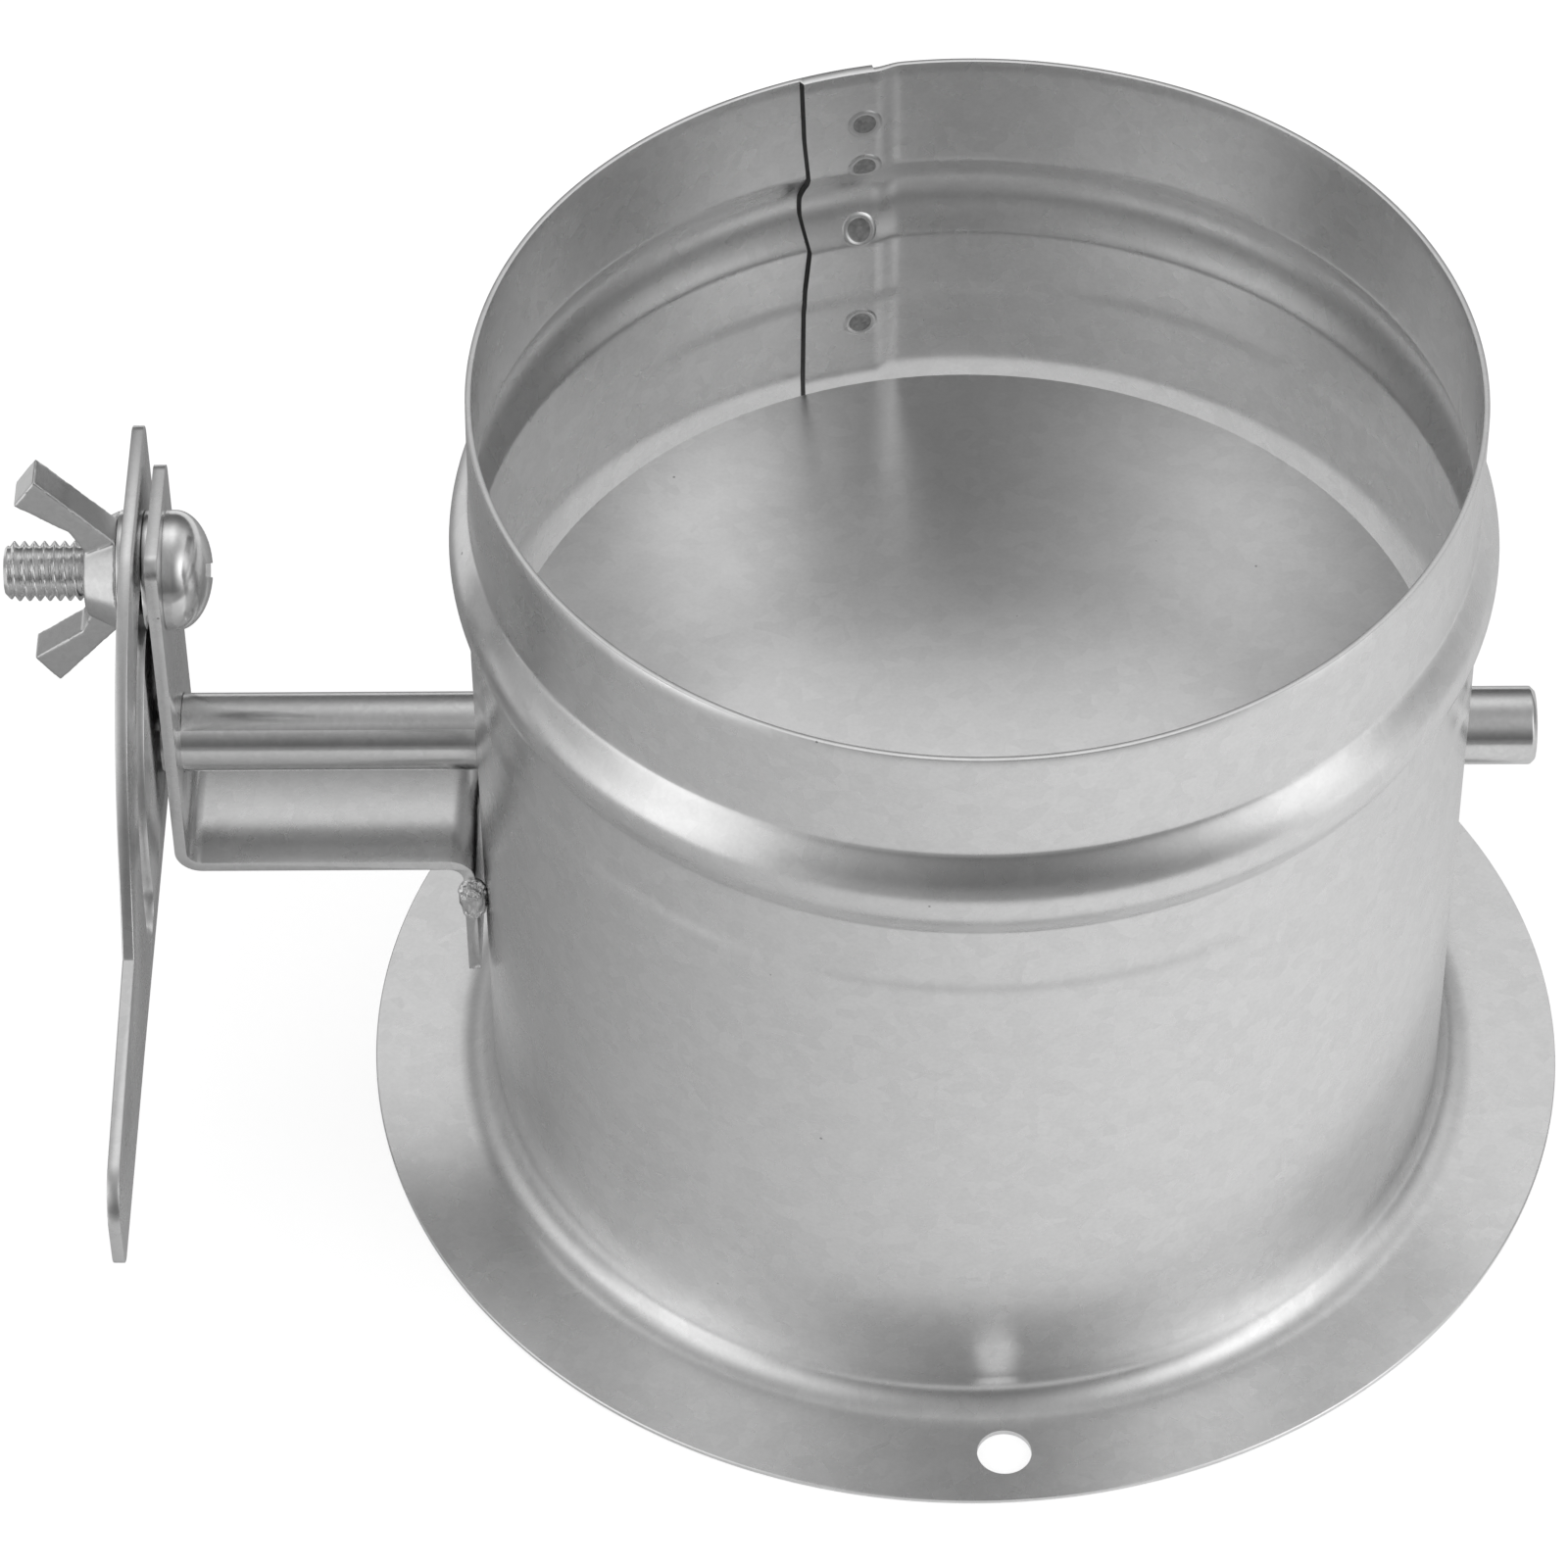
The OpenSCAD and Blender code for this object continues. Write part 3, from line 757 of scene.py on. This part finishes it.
def floor_glow(tree):
    """Glow of the floor as reflections see it."""
    place = tree.nodes.new("ShaderNodeSeparateXYZ")
    wire(tree, tree.nodes.new("ShaderNodeTexCoord").outputs["Object"], place.inputs["Vector"])
    square = maths(tree, "MULTIPLY", place.outputs["X"], place.outputs["X"])
    square = maths(tree, "MULTIPLY_ADD", place.outputs["Y"], place.outputs["Y"], square)
    radius = maths(tree, "SQRT", square)
    near = brighter_side(tree, place, radius, NEAR_SIDE)
    far = brighter_side(tree, place, radius, FAR_SIDE)
    for patch in FAR_PATCHES:
        far = maths(tree, "ADD", far, far_patch(tree, place, radius, *patch))
    is_near = maths(tree, "LESS_THAN", radius, NEAR_FLOOR_R)
    side = maths(tree, "MULTIPLY_ADD", maths(tree, "SUBTRACT", near, far), is_near, far)
    outside = maths(tree, "ADD", side, FLOOR_GLOW)
    is_inside = maths(tree, "LESS_THAN", radius, WALL_R)
    step = maths(tree, "SUBTRACT", FLOOR_GLOW_INSIDE, outside)
    return maths(tree, "MULTIPLY_ADD", step, is_inside, outside)


def floor_material():
    """White floor to the camera, with the object's shadow. Other rays see it as a grey that glows."""
    material = bpy.data.materials.new("floor_white")
    material.use_nodes = True
    tree = material.node_tree
    shader = tree.nodes["Principled BSDF"]
    shader.inputs["Roughness"].default_value = FLOOR_ROUGHNESS
    shader.inputs["Specular IOR Level"].default_value = 0.0
    path = tree.nodes.new("ShaderNodeLightPath")
    lighter = FLOOR_CAMERA_TONE - FLOOR_TONE
    tone = maths(tree, "MULTIPLY_ADD", path.outputs["Is Camera Ray"], lighter, FLOOR_TONE)
    wire(tree, tone, shader.inputs["Base Color"])
    seen = maths(tree, "MULTIPLY", path.outputs["Is Glossy Ray"], floor_glow(tree))
    seen = maths(tree, "MULTIPLY_ADD", path.outputs["Is Camera Ray"], CAMERA_GLOW, seen)
    shader.inputs["Emission Color"].default_value = (1, 1, 1, 1)
    wire(tree, seen, shader.inputs["Emission Strength"])
    return material


def make_floor():
    """A wide round floor, just under the flange."""
    bm = bmesh.new()
    bmesh.ops.create_circle(bm, cap_ends=True, segments=64, radius=FLOOR_R)
    mesh = bpy.data.meshes.new("floor")
    bm.to_mesh(mesh)
    bm.free()
    floor = bpy.data.objects.new("floor", mesh)
    bpy.context.scene.collection.objects.link(floor)
    floor.location.z = -FLOOR_DROP
    dress(floor, floor_material())


def light_patch(tree, place, azimuth, elevation, strength, sharpness):
    """Soft round patch of light in one direction."""
    a, e = math.radians(azimuth), math.radians(elevation)
    towards = tree.nodes.new("ShaderNodeVectorMath")
    towards.operation = "DOT_PRODUCT"
    wire(tree, place, towards.inputs[0])
    towards.inputs[1].default_value = (math.cos(e) * math.cos(a), math.cos(e) * math.sin(a), math.sin(e))
    fall = maths(tree, "MULTIPLY_ADD", towards.outputs["Value"], sharpness, -sharpness)
    return maths(tree, "MULTIPLY", maths(tree, "EXPONENT", fall), strength)


def make_world():
    """White to the camera, and soft patches of light to everything else."""
    world = bpy.data.worlds.new("studio")
    bpy.context.scene.world = world
    world.use_nodes = True
    tree = world.node_tree
    place = tree.nodes.new("ShaderNodeTexCoord").outputs["Generated"]
    light = AMBIENT
    for patch in PATCHES:
        light = maths(tree, "ADD", light_patch(tree, place, *patch), light)
    to_camera = tree.nodes.new("ShaderNodeLightPath").outputs["Is Camera Ray"]
    hidden = maths(tree, "MULTIPLY", maths(tree, "SUBTRACT", 1.0, to_camera), light)
    background = tree.nodes["Background"]
    background.inputs["Color"].default_value = (1, 1, 1, 1)
    wire(tree, maths(tree, "ADD", hidden, to_camera), background.inputs["Strength"])


make_camera()
make_floor()
make_world()
bpy.context.scene.view_settings.view_transform = "Standard"

sheet_steel = steel("galvanised_sheet", 0.8, 0.28, 1.6 * MM)
blade_steel = steel("galvanised_blade", 0.8, 0.34, 1.6 * MM)
strip_steel = steel("galvanised_strip", 0.76, 0.28, 1.2 * MM)
bar_steel = steel("plated_bar", 0.72, 0.2, 0.8 * MM)
plated_steel = steel("plated_fastener", 0.82, 0.18, 0.8 * MM)
# Near-black steel for the sheet's cut end: painted shade of the crevice under the lapped edge.
cut_end_shade_steel = steel("cut_edge_painted_shade", 0.12, 0.5, 0.4 * MM)
weld_steel = steel("weld_mark", 0.42, 0.4, 0.4 * MM, mottle=0.3)
cast_steel = steel("plated_casting", 0.6, 0.24, 0.6 * MM)

make_collar(sheet_steel, cut_end_shade_steel)
make_spots(weld_steel, sheet_steel)
make_screw(plated_steel)
bracket = softened("bracket", "collar_body", PLATE_EDGE_R)
roughen_welds(bracket.data)
dress(bracket, strip_steel)
dress(softened("lever", "blade_body", PLATE_EDGE_R), strip_steel)
dress(softened("shaft", "blade_body", PART_EDGE_R), bar_steel)
dress(softened("blade", "blade_body", PART_EDGE_R), blade_steel)
dress(softened("spacer_washer", "collar_body", PART_EDGE_R), plated_steel)
dress(softened("flat_washer", "washer_body", PART_EDGE_R), plated_steel)
dress(cast("wing_nut", "wing_nut_body", NUT_GRAIN, NUT_ROUNDS), cast_steel)
